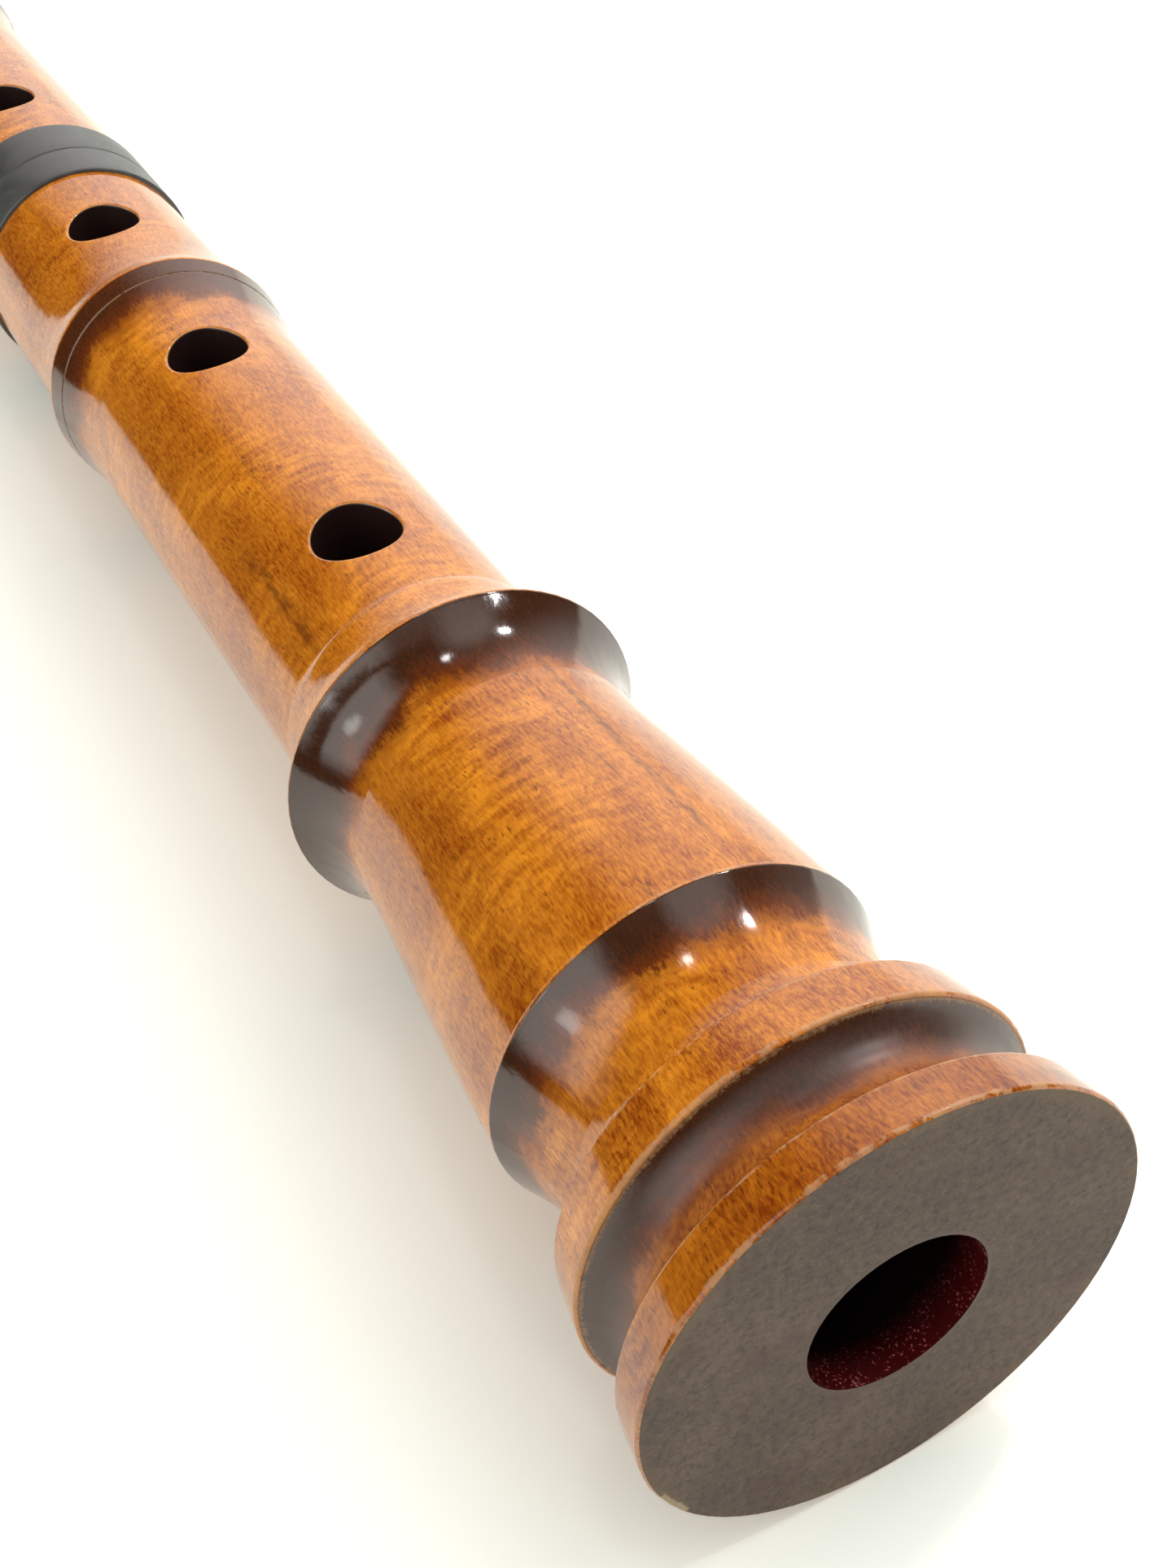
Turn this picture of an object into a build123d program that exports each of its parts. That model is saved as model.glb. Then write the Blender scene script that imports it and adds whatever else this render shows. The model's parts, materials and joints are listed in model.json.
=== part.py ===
from build123d import *
import math
import os

# A two-piece end-blown wooden flute, turned from maple to look like root-end bamboo.
# The bore runs along +X from the foot (X = 0) to the mouth, and the finger holes face +Z.
# All sizes are in millimetres.

LENGTH = 545.0            # foot face to blowing edge, the 1.8 shaku standard
JOINT_X = 254.0           # parting line between the two sections
JOINT_GAP = 0.10          # daylight between the two rings when closed

FOOT_RADIUS = 28.8
BAND_MOUTH_RADIUS = 28.0  # foot band, at its mouth-side edge
EDGE = 0.45               # worn round on the band edges
GROOVE_RADIUS = 23.7      # bottom of the groove between the two bands

# Crest of each bamboo-like node ring: distance from the foot, radius.
NODE_6 = (39.8, 24.1)
NODE_5 = (95.1, 24.0)
NODE_4 = (203.3, 20.1)
NODE_3 = (352.9, 18.9)
NODE_1 = (521.9, 19.4)
CREST = 0.45              # half width of a crest's rounded lip

# Bore: cones between these stations. The foot has a short parallel land.
FOOT_BORE_RADIUS = 10.45
FOOT_LAND = 6.0
CHOKE_X = 112.0
CHOKE_RADIUS = 7.95
CHOKE_LENGTH = 36.0
JOINT_BORE_RADIUS = 8.6
MOUTH_BORE_RADIUS = 10.0
LACQUER = 0.5             # thickness of the bore lining
BORE_STATIONS = [         # where the bore's taper changes, and its radius there
    (0.0, FOOT_BORE_RADIUS),
    (FOOT_LAND, FOOT_BORE_RADIUS),
    (CHOKE_X, CHOKE_RADIUS),
    (CHOKE_X + CHOKE_LENGTH, CHOKE_RADIUS),
    (JOINT_X, JOINT_BORE_RADIUS),
    (LENGTH, MOUTH_BORE_RADIUS),
]

# Finger holes: distance from the foot, hole radius.
HOLE_LIP = 0.4            # round on the outer rim of each hole
FINGER_HOLES_LOWER = [(122.3, 6.0), (177.2, 5.9), (225.5, 5.7)]
FINGER_HOLE_UPPER = (283.5, 5.6)
THUMB_HOLE = (316.5, 5.4)
REACH = 60.0              # longer than the flute is wide, for drills and cutters
CLEAR = 1.0               # how far a cutter stands past what it cuts

# Joint: a sleeve tenon that turns in the lower section and slides out of the upper socket.
TENON_START = 235.5
TENON_END = 273.6
TENON_RADIUS = 11.2
TENON_LEAD = 0.6          # chamfer on the tenon's ends
FIT = 0.04                # radial running clearance
SEAT_X = TENON_START - JOINT_GAP / 2   # shoulder that the tenon stops at
SOCKET_RADIUS = 13.2
SOCKET_END = 274.1
SOCKET_FLARE = 0.5        # chamfer at the socket's open end
RING_SEAT_RADIUS = 16.6
RING_RADIUS = 18.6
LOWER_RING_LENGTH = 9.6
UPPER_RING_LENGTH = 11.2
RING_SOFT = 0.4           # round on a ring's outer corners

# Mouth end.
MOUTH_RADIUS = 18.2
EDGE_CHORD = 13.5         # width of the blowing edge across the bore
BEVEL_DEG = 40.0          # bevel, measured from the bore axis
CHIN_CUT_X = 6.0          # chin rest: how far down the back the slope reaches
CHIN_CUT_Z = 6.5          # and how far in from the outside
INLAY_TOP = 12.6          # inlay width at the blowing edge
INLAY_FOOT = 8.0
INLAY_HEIGHT = 10.5
INLAY_DEPTH = 2.2

LOWER_END = JOINT_X - JOINT_GAP / 2
UPPER_START = JOINT_X + JOINT_GAP / 2
LOWER_SEAT_X = JOINT_X - LOWER_RING_LENGTH
UPPER_SEAT_X = JOINT_X + UPPER_RING_LENGTH
CHORD_Z = math.sqrt(MOUTH_BORE_RADIUS**2 - (EDGE_CHORD / 2) ** 2)


def turned(face):
    """A solid of revolution about the bore axis."""
    return revolve(face, axis=Axis.X)


def outline(*pieces):
    """A face closed by the given edges, drawn as X against radius."""
    return make_face(Curve() + list(pieces))


def line(*points):
    return Polyline(*points)


def bore_radius(x):
    """Radius of the finished bore at a distance from the foot."""
    for (x0, r0), (x1, r1) in zip(BORE_STATIONS, BORE_STATIONS[1:]):
        if x <= x1:
            return r0 + (r1 - r0) * (x - x0) / (x1 - x0)
    return MOUTH_BORE_RADIUS


def bore_core(stations, extra):
    """The solid that fills the bore through the given stations, grown by extra."""
    top = [(x, bore_radius(x) + extra) for x in stations]
    return turned(outline(line((stations[0], 0), *top, (stations[-1], 0), (stations[0], 0))))


def hole_drill(x, radius, side):
    """A drill along +Z or -Z, from the bore axis to outside the wall."""
    drill = Cylinder(radius, REACH, align=(Align.CENTER, Align.CENTER, Align.MIN))
    if side < 0:
        drill = Rot(180, 0, 0) * drill
    return Pos(x, 0, 0) * drill


def hole_rim(body, x, radius, side):
    """The edges round the outer end of a drilled hole."""
    def on_rim(edge):
        for step in (0.0, 0.3, 0.6, 0.9):
            point = edge @ step
            beside = abs(math.hypot(point.X - x, point.Y) - radius) > 0.01
            if beside or point.Z * side < SOCKET_RADIUS:
                return False
        return True

    return body.edges().filter_by(on_rim)


def drilled(body, x, radius, side):
    """The body with one finger hole through its wall, the outer rim rounded."""
    body -= hole_drill(x, radius, side)
    return fillet(hole_rim(body, x, radius, side), HOLE_LIP)


def lower_outside():
    """The foot bands, two root nodes, one node on the tube, and the seat for the ring."""
    band_1 = line((0.5, FOOT_RADIUS), (6.0 - EDGE, BAND_MOUTH_RADIUS))
    band_2 = line((15.2 + EDGE, 27.05), (22.0 - EDGE, 25.9))
    node_6_x, node_6_r = NODE_6
    node_5_x, node_5_r = NODE_5
    node_4_x, node_4_r = NODE_4
    return [
        line((0, 0), (0, FOOT_RADIUS - 0.5)),
        ThreePointArc((0, FOOT_RADIUS - 0.5), (0.15, FOOT_RADIUS - 0.14), band_1 @ 0),
        band_1,
        ThreePointArc(band_1 @ 1, (5.85, 27.83), (6.0, 27.45)),
        ThreePointArc((6.0, 27.45), (10.3, GROOVE_RADIUS), (15.2, 26.6)),
        ThreePointArc((15.2, 26.6), (15.3, 26.92), band_2 @ 0),
        band_2,
        ThreePointArc(band_2 @ 1, (21.88, 25.73), (22.0, 25.4)),
        Spline((22.0, 25.4), (23.5, 22.4), (27.5, 21.1), tangents=((1, -2.6), (1, 0))),
        ThreePointArc((27.5, 21.1), (33.9, 21.95), (node_6_x - CREST, node_6_r - 0.1)),
        ThreePointArc((node_6_x - CREST, node_6_r - 0.1), (node_6_x, node_6_r),
                      (node_6_x + CREST, node_6_r - 0.2)),
        Spline((node_6_x + CREST, node_6_r - 0.2), (44.0, 23.65), (54.0, 22.8), (70.0, 21.15),
               (84.0, 19.95), tangents=((1, -0.1), (1, -0.02))),
        ThreePointArc((84.0, 19.95), (89.7, 21.0), (node_5_x - CREST, node_5_r - 0.2)),
        ThreePointArc((node_5_x - CREST, node_5_r - 0.2), (node_5_x, node_5_r),
                      (node_5_x + CREST, node_5_r - 0.25)),
        Spline((node_5_x + CREST, node_5_r - 0.25), (97.2, 21.9), (100.4, 20.2), (106.0, 19.15),
               (118.0, 18.7), tangents=((1, -1.4), (1, -0.006))),
        line((118.0, 18.7), (186.0, 18.27)),
        Spline((186.0, 18.27), (193.5, 18.6), (node_4_x - 4.2, 19.45),
               tangents=((1, -0.006), (1, 0.16))),
        line((node_4_x - 4.2, 19.45), (node_4_x - 4.0, 19.3), (node_4_x - 3.8, 19.52)),
        Spline((node_4_x - 3.8, 19.52), (node_4_x - CREST, node_4_r - 0.06),
               tangents=((1, 0.16), (1, 0.16))),
        ThreePointArc((node_4_x - CREST, node_4_r - 0.06), (node_4_x, node_4_r),
                      (node_4_x + CREST, node_4_r - 0.15)),
        Spline((node_4_x + CREST, node_4_r - 0.15), (206.4, 19.1), (211.0, 18.5),
               (218.5, 18.12), tangents=((1, -0.5), (1, -0.006))),
        line((218.5, 18.12), (LOWER_SEAT_X, 17.95)),
        line((LOWER_SEAT_X, 17.95), (LOWER_SEAT_X, RING_SEAT_RADIUS),
             (LOWER_END, RING_SEAT_RADIUS), (LOWER_END, 0), (0, 0)),
    ]


def upper_outside():
    """The seat for the ring, one node above the thumb hole, and the mouth end."""
    node_3_x, node_3_r = NODE_3
    node_1_x, node_1_r = NODE_1
    return [
        line((UPPER_START, 0), (UPPER_START, RING_SEAT_RADIUS),
             (UPPER_SEAT_X, RING_SEAT_RADIUS), (UPPER_SEAT_X, 17.8)),
        line((UPPER_SEAT_X, 17.8), (330.0, 17.15)),
        Spline((330.0, 17.15), (345.0, 17.75), (node_3_x - CREST, node_3_r - 0.12),
               tangents=((1, -0.01), (1, 0.25))),
        ThreePointArc((node_3_x - CREST, node_3_r - 0.12), (node_3_x, node_3_r),
                      (node_3_x + CREST, node_3_r - 0.15)),
        Spline((node_3_x + CREST, node_3_r - 0.15), (355.6, 18.05), (360.0, 17.4),
               (370.0, 17.05), tangents=((1, -0.5), (1, -0.006))),
        Spline((370.0, 17.05), (430.0, 16.85), (502.0, 17.15), tangents=((1, -0.006), (1, 0.01))),
        Spline((502.0, 17.15), (514.0, 17.85), (node_1_x - CREST, node_1_r - 0.12),
               tangents=((1, 0.01), (1, 0.3))),
        ThreePointArc((node_1_x - CREST, node_1_r - 0.12), (node_1_x, node_1_r),
                      (node_1_x + CREST, node_1_r - 0.15)),
        Spline((node_1_x + CREST, node_1_r - 0.15), (524.6, 18.6), (530.0, 18.3),
               tangents=((1, -0.4), (1, -0.007))),
        line((530.0, 18.3), (LENGTH - 0.8, MOUTH_RADIUS)),
        ThreePointArc((LENGTH - 0.8, MOUTH_RADIUS), (LENGTH - 0.23, MOUTH_RADIUS - 0.23),
                      (LENGTH, MOUTH_RADIUS - 0.8)),
        line((LENGTH, MOUTH_RADIUS - 0.8), (LENGTH, 0), (UPPER_START, 0)),
    ]


def bevel_plane():
    """On the blowing edge's bevel: origin mid-edge, local X across the bore, local Y down it."""
    slope = math.radians(BEVEL_DEG)
    down = (-math.cos(slope), 0, math.sin(slope))
    outward = (math.sin(slope), 0, math.cos(slope))
    across = Vector(*down).cross(Vector(*outward))
    return Plane(origin=(LENGTH, 0, CHORD_Z), x_dir=across, z_dir=outward)


def mouth_cutters():
    """The bevel in front of the bore and the chin rest behind it."""
    bevel = bevel_plane() * Box(REACH, REACH, REACH, align=(Align.CENTER, Align.CENTER, Align.MIN))
    slope = CHIN_CUT_Z / CHIN_CUT_X
    start = (LENGTH - CHIN_CUT_X, -MOUTH_RADIUS)
    end = (LENGTH + CLEAR, -MOUTH_RADIUS + slope * (CHIN_CUT_X + CLEAR))
    chin = outline(line(start, end, (end[0], -REACH), (start[0], -REACH), start))
    chin = Rot(90, 0, 0) * chin
    return bevel, extrude(chin, amount=REACH, dir=(0, 1, 0), both=True)


def inlay_pocket():
    """A tapered pocket sunk square into the bevel, open at the blowing edge."""
    top, foot = INLAY_TOP / 2, INLAY_FOOT / 2
    shape = outline(line((-top, -CLEAR), (top, -CLEAR), (top, 0), (foot, INLAY_HEIGHT),
                         (-foot, INLAY_HEIGHT), (-top, 0), (-top, -CLEAR)))
    pocket = extrude(shape, amount=-INLAY_DEPTH) + extrude(shape, amount=CLEAR)
    return bevel_plane() * pocket


def lower_tube():
    body = turned(outline(*lower_outside()))
    body -= bore_core([0, FOOT_LAND, CHOKE_X, CHOKE_X + CHOKE_LENGTH, TENON_START], LACQUER)
    seat = TENON_RADIUS + FIT
    body -= turned(outline(line((SEAT_X, 0), (SEAT_X, seat), (JOINT_X, seat), (JOINT_X, 0),
                                (SEAT_X, 0))))
    for x, radius in FINGER_HOLES_LOWER:
        body = drilled(body, x, radius, 1)
    return body


def lower_lining():
    stations = [0, FOOT_LAND, CHOKE_X, CHOKE_X + CHOKE_LENGTH, SEAT_X]
    lining = bore_core(stations, LACQUER) - bore_core(stations, 0)
    for x, radius in FINGER_HOLES_LOWER:
        lining -= hole_drill(x, radius, 1)
    return lining


def upper_solid():
    """The upper section with its mouth cuts, before its bore and holes."""
    body = turned(outline(*upper_outside()))
    for cutter in mouth_cutters():
        body -= cutter
    return body


def upper_tube():
    body = upper_solid()
    body -= bore_core([SOCKET_END - CLEAR, LENGTH], LACQUER)
    body -= turned(outline(line((JOINT_X, 0), (JOINT_X, SOCKET_RADIUS),
                                (SOCKET_END, SOCKET_RADIUS), (SOCKET_END, 0), (JOINT_X, 0))))
    body = drilled(body, *FINGER_HOLE_UPPER, 1)
    body = drilled(body, *THUMB_HOLE, -1)
    return body - inlay_pocket()


def upper_lining():
    stations = [SOCKET_END, LENGTH]
    lining = bore_core(stations, LACQUER) - bore_core(stations, 0)
    lining -= hole_drill(*FINGER_HOLE_UPPER, 1)
    lining -= hole_drill(*THUMB_HOLE, -1)
    return (lining & upper_solid()) - inlay_pocket()


def blowing_edge_inlay():
    return (upper_solid() & inlay_pocket()) - bore_core([LENGTH - REACH, LENGTH], 0)


def joint_ring(start, end):
    """A ferrule with softened outer corners, pressed on its seat."""
    soft = RING_SOFT
    return turned(outline(
        line((start, RING_SEAT_RADIUS), (start, RING_RADIUS - soft)),
        ThreePointArc((start, RING_RADIUS - soft),
                      (start + 0.3 * soft, RING_RADIUS - 0.3 * soft),
                      (start + soft, RING_RADIUS)),
        line((start + soft, RING_RADIUS), (end - soft, RING_RADIUS)),
        ThreePointArc((end - soft, RING_RADIUS), (end - 0.3 * soft, RING_RADIUS - 0.3 * soft),
                      (end, RING_RADIUS - soft)),
        line((end, RING_RADIUS - soft), (end, RING_SEAT_RADIUS), (start, RING_SEAT_RADIUS)),
    ))


def tenon_sleeve():
    lead = TENON_LEAD
    inner_start = bore_radius(TENON_START)
    inner_end = bore_radius(TENON_END)
    return turned(outline(line(
        (TENON_START, inner_start), (TENON_START, TENON_RADIUS - lead),
        (TENON_START + lead, TENON_RADIUS), (TENON_END - lead, TENON_RADIUS),
        (TENON_END, TENON_RADIUS - lead), (TENON_END, inner_end), (TENON_START, inner_start))))


def socket_sleeve():
    inner = TENON_RADIUS + FIT
    flare = SOCKET_FLARE
    return turned(outline(line(
        (UPPER_START, inner + flare), (UPPER_START, SOCKET_RADIUS), (SOCKET_END, SOCKET_RADIUS),
        (SOCKET_END, inner), (UPPER_START + flare, inner), (UPPER_START, inner + flare))))


NODES = {
    "lower_tube": lower_tube,
    "lower_joint_ring": lambda: joint_ring(LOWER_SEAT_X, LOWER_END),
    "lower_bore_lining": lower_lining,
    "tenon_sleeve": tenon_sleeve,
    "upper_tube": upper_tube,
    "upper_joint_ring": lambda: joint_ring(UPPER_START, UPPER_SEAT_X),
    "upper_bore_lining": upper_lining,
    "socket_sleeve": socket_sleeve,
    "blowing_edge_inlay": blowing_edge_inlay,
}

os.makedirs("parts", exist_ok=True)
for node, build in NODES.items():
    solid = build()
    solid.label = node
    export_step(solid, f"parts/{node}.step")
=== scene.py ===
import json
import math

import bmesh
import bpy
from mathutils import Matrix, Vector


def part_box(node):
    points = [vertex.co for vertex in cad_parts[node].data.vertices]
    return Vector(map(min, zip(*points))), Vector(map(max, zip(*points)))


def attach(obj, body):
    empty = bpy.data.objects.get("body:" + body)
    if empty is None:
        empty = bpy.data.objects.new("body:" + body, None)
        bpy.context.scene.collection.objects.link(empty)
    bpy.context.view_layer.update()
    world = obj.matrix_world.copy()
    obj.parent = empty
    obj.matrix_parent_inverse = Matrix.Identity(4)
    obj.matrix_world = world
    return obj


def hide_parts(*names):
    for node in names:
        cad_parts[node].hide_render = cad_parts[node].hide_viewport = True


# A two-piece end-blown flute of stained, lacquered maple, lying on a pale table.
# The bore runs along +X from the foot, and the finger holes face +Z. Blender's unit is the
# metre. Inside the materials, places on the flute are in millimetres.

bpy.ops.wm.read_factory_settings(use_empty=True)
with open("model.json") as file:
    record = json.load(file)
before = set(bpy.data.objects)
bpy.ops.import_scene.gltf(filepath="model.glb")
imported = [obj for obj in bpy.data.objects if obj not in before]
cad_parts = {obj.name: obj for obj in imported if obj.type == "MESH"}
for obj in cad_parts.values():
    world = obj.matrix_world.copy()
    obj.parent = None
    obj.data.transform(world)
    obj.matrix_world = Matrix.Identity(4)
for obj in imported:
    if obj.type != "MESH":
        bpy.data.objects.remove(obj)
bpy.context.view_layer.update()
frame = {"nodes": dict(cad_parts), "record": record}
MM = 0.001

# Camera: eye, the point it looks at, its tilt about the line of sight, and its lens.
EYE = Vector((-0.0872, 0.0646, 0.1737))
AIM = Vector((0.0814, -0.0103, 0.0))
ROLL_DEG = -6.7
LENS_MM = 47.04

# Places along the flute that the finish follows, in millimetres from the foot face.
FOOT_BAND_EDGES = (0.25, 5.80)
UPPER_BAND_EDGES = (15.45, 21.8)
GROOVE_LIP = 15.2
GROOVE_DULL = (6.4, 14.8)
NODE_6_LIP = 39.8
NODE_5_LIP = 95.1
NODE_4_LIP = 203.3
NODE_4_LINE = 199.3
NODE_3_LIP = 352.9
NODE_1_LIP = 521.9
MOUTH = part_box("upper_tube")[1].x / MM

# How deep the cut wood of an end face shows, and the middle of the chip in the foot's rim.
END_FACE = 0.06
CHIP_MIDDLE = (0.3, 25.6, -11.6)

# The middle of each opening along the flute, in millimetres.
MIDDLES = {opening["name"]: (opening["box_m"][0][0] + opening["box_m"][1][0]) / 2 / MM
           for opening in frame["record"]["physics"]["openings"]}

# Finger and thumb holes: place along, radius, and 1 for the finger side or -1 for the thumb's.
LOWER_HOLES = ((MIDDLES["finger_hole_1"], 6.0, 1.0), (MIDDLES["finger_hole_2"], 5.9, 1.0),
               (MIDDLES["finger_hole_3"], 5.7, 1.0))
UPPER_HOLES = ((MIDDLES["finger_hole_4"], 5.6, 1.0), (MIDDLES["thumb_hole"], 5.4, -1.0))

# Dark stain: where it starts, the lip it ends at, how soft its start is, and its strength.
LOWER_POOLS = ((10.6, GROOVE_LIP, 1.7, 0.95), (34.2, NODE_6_LIP - 0.15, 2.3, 1.0),
               (85.5, NODE_5_LIP - 0.15, 3.0, 1.0), (193.0, NODE_4_LIP - 0.4, 3.2, 0.80))
UPPER_POOLS = ((345.5, NODE_3_LIP - 0.2, 3.6, 0.7), (515.5, NODE_1_LIP - 0.2, 2.6, 0.8))

# Worn edges: place along, width, and how much of the edge is worn.
LOWER_WORN = ((FOOT_BAND_EDGES[0], 0.55, 0.55), (FOOT_BAND_EDGES[1], 0.40, 0.45),
              (UPPER_BAND_EDGES[0], 0.50, 0.8), (UPPER_BAND_EDGES[1], 0.4, 0.5),
              (NODE_6_LIP, 0.2, 0.45), (NODE_5_LIP, 0.2, 0.45), (NODE_4_LINE, 0.16, 0.75),
              (NODE_4_LIP, 0.22, 0.35))
UPPER_WORN = ((NODE_3_LIP, 0.2, 0.5), (NODE_1_LIP, 0.2, 0.5))

# Dark veins on the finger side: place across, start and end along, and width.
LOWER_VEINS = ((-8.0, 42.0, 96.0, 0.75), (12.4, 104.0, 136.0, 0.9), (3.0, 108.0, 121.0, 0.35),
               (-4.5, 56.0, 88.0, 0.3))
UPPER_VEINS = ((6.0, 300.0, 420.0, 0.7), (-3.5, 380.0, 500.0, 0.5))

# Joint rings, in millimetres, and how finely their meshes are cut.
RING_SEAT_RADIUS = 16.6
RING_CORNER = 0.4
RING_CORNER_STEPS = 6
RING_CUTS = 2
RING_SIDES = 192

# Colours, as linear red, green, blue.
HONEY = (0.61, 0.210, 0.012, 1)
AMBER = (0.205, 0.036, 0.0003, 1)
RUSSET = (0.105, 0.022, 0.003, 1)
UMBER = (0.034, 0.012, 0.005, 1)
FIBRE = (0.10, 0.022, 0.003, 1)
# The pale colour of worn edges. Round the finger holes the same colour also serves as a painted highlight.
WEAR_AND_HIGHLIGHT = (0.42, 0.23, 0.095, 1)
CHIPPED = (0.46, 0.33, 0.20, 1)
FOOT_TINT = (0.71, 0.63, 0.50, 1)
HOLE_WALL = (0.016, 0.005, 0.004, 1)
FACE_DARK, FACE_LIGHT = (0.112, 0.063, 0.037, 1), (0.162, 0.095, 0.058, 1)
FACE_COMBED, FACE_PORE = (0.040, 0.026, 0.018, 1), (0.022, 0.014, 0.010, 1)
FACE_FIBRE, FACE_GRIT = (0.20, 0.130, 0.090, 1), (0.30, 0.23, 0.17, 1)
FACE_REDDISH, FACE_RUBBED = (0.09, 0.030, 0.022, 1), (0.20, 0.125, 0.055, 1)
RING_DARK, RING_LIGHT, RING_DUST = (0.034, 0.034, 0.032, 1), (0.052, 0.051, 0.047, 1), (0.3, 0.28, 0.25, 1)
# The second lacquer colour is painted shade: the near black that the bore darkens to away from its ends.
LACQUER_RED, LACQUER_PAINTED_SHADE = (0.050, 0.0006, 0.0010, 1), (0.003, 0.0001, 0.0002, 1)
LACQUER_DUST, LACQUER_CUT = (0.34, 0.10, 0.09, 1), (0.060, 0.030, 0.020, 1)
TENON_LIGHT, TENON_DARK = (0.42, 0.24, 0.11, 1), (0.30, 0.15, 0.06, 1)
SOCKET_LIGHT, SOCKET_DARK = (0.30, 0.16, 0.07, 1), (0.20, 0.10, 0.04, 1)
HORN_BLACK, HORN_BROWN = (0.008, 0.007, 0.006, 1), (0.05, 0.030, 0.016, 1)
TABLE = (0.93, 0.965, 0.90, 1)

# The table top, in metres. Its edge behind the flute is near, so the lacquer mirrors little of it.
TABLE_X = (-1.5, 2.5)
TABLE_Y = (-3.0, 0.22)

# Lamps: azimuth and elevation in degrees, distance and size in metres, watts, and whether
# the lacquer mirrors the lamp.
LAMPS = {"key_soft": (-70, 48, 1.6, 1.2, 8.0, False),
         "fill_top": (20, 80, 1.8, 1.4, 2.0, False),
         "spot_1": (-79, 47, 1.2, 0.065, 2.4, True),
         "spot_2": (-110, 44, 1.2, 0.055, 1.8, True),
         "spot_3": (-27, 80, 1.2, 0.080, 0.5, True)}
LAMP_TARGET = Vector((0.1, 0.0, 0.0))

# Pale patches of the room that the lacquer mirrors: azimuth, elevation, inner and outer
# edge in degrees, and brightness.
ROOM_GLOWS = ((-40, 8, 5, 55, 1.05), (-78, 66, 6, 26, 0.3), (-107, 64, 6, 22, 1.0),
              (-178, 50, 8, 34, 0.55), (-25, 28, 5, 38, 0.55))

# The room's level between its patches. Then the plainer room that diffuse surfaces see: its
# level, and how much brighter it is towards the key lamp.
ROOM_DARK = 0.02
ROOM_AMBIENT = 1.12
ROOM_SLOPE = 0.78


# ---------------------------------------------------------------- node helpers

def give(tree, socket, value):
    """Links a socket from another, or sets its value."""
    if isinstance(value, bpy.types.NodeSocket):
        tree.links.new(value, socket)
    else:
        socket.default_value = value


def add(tree, kind, inputs=None, **settings):
    """A node of that kind, with its settings and inputs."""
    node = tree.nodes.new(kind)
    for name, value in settings.items():
        setattr(node, name, value)
    for key, value in (inputs or {}).items():
        give(tree, node.inputs[key], value)
    return node


def calc(tree, operation, *values, clamp=False):
    """One Math node's result."""
    inputs = dict(enumerate(values))
    return add(tree, "ShaderNodeMath", inputs, operation=operation, use_clamp=clamp).outputs[0]


def plus(tree, *values):
    """The sum of several values."""
    total = values[0]
    for value in values[1:]:
        total = calc(tree, "ADD", total, value)
    return total


def less(tree, value, taken):
    """One value less another."""
    return calc(tree, "SUBTRACT", value, taken)


def times(tree, *values):
    """The product of several values."""
    total = values[0]
    for value in values[1:]:
        total = calc(tree, "MULTIPLY", total, value)
    return total


def largest(tree, masks):
    """The largest of several masks."""
    total = masks[0]
    for mask in masks[1:]:
        total = calc(tree, "MAXIMUM", total, mask)
    return total


def shifted(tree, vector, offset):
    """A vector with another added to it."""
    return add(tree, "ShaderNodeVectorMath", {0: vector, 1: offset}).outputs["Vector"]


def scaled(tree, vector, factor):
    """A vector times one number."""
    return add(tree, "ShaderNodeVectorMath", {0: vector, "Scale": factor},
               operation="SCALE").outputs["Vector"]


def stretched(tree, vector, scale):
    """A vector scaled axis by axis."""
    return add(tree, "ShaderNodeMapping", {"Vector": vector, "Scale": scale}).outputs["Vector"]


def facing(tree, direction, middle):
    """How far a direction points towards another: 1 along it, 0 across it."""
    return add(tree, "ShaderNodeVectorMath", {0: direction, 1: middle},
               operation="DOT_PRODUCT").outputs["Value"]


def blend(tree, factor, first, second, how="MIX"):
    """Two colours mixed."""
    node = add(tree, "ShaderNodeMix", data_type="RGBA", blend_type=how)
    for key, value in ((0, factor), (6, first), (7, second)):
        give(tree, node.inputs[key], value)
    return node.outputs[2]


def ease(tree, value, low, high, to_low=0.0, to_high=1.0):
    """A smooth step, from to_low at low to to_high at high."""
    node = add(tree, "ShaderNodeMapRange",
               {"Value": value, "From Min": low, "From Max": high,
                "To Min": to_low, "To Max": to_high},
               interpolation_type="SMOOTHSTEP")
    return node.outputs["Result"]


def noise(tree, vector, scale, detail=2.0, rough=0.5):
    """Soft noise between 0 and 1."""
    node = add(tree, "ShaderNodeTexNoise",
               {"Vector": vector, "Scale": scale, "Detail": detail, "Roughness": rough})
    return node.outputs["Fac"]


def swing(tree, vector, scale, detail=2.0, rough=0.5):
    """Soft noise between -0.5 and 0.5."""
    return less(tree, noise(tree, vector, scale, detail, rough), 0.5)


def group(name, takes, gives):
    """An empty shader group with its named inputs and outputs, and its two end nodes."""
    kinds = {"value": "NodeSocketFloat", "vector": "NodeSocketVector"}
    tree = bpy.data.node_groups.new(name, "ShaderNodeTree")
    for socket, kind, default in takes:
        made = tree.interface.new_socket(socket, in_out="INPUT", socket_type=kinds[kind])
        if default is not None:
            made.default_value = default
    for socket in gives:
        tree.interface.new_socket(socket, in_out="OUTPUT", socket_type=kinds["value"])
    return tree, tree.nodes.new("NodeGroupInput").outputs, tree.nodes.new("NodeGroupOutput").inputs


def place(tree, shared, **inputs):
    """A shared group put in a material, with this material's own values."""
    node = tree.nodes.new("ShaderNodeGroup")
    node.node_tree = shared
    for key, value in inputs.items():
        give(tree, node.inputs[key.replace("_", " ")], value)
    return node.outputs


def material(name):
    """A new material, its tree and its Principled shader."""
    made = bpy.data.materials.new(name)
    made.use_nodes = True
    return made, made.node_tree, made.node_tree.nodes["Principled BSDF"]


def feed(tree, shader, **sockets):
    """Links or sets the shader's inputs by name."""
    for key, value in sockets.items():
        give(tree, shader.inputs[key.replace("_", " ")], value)


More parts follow.
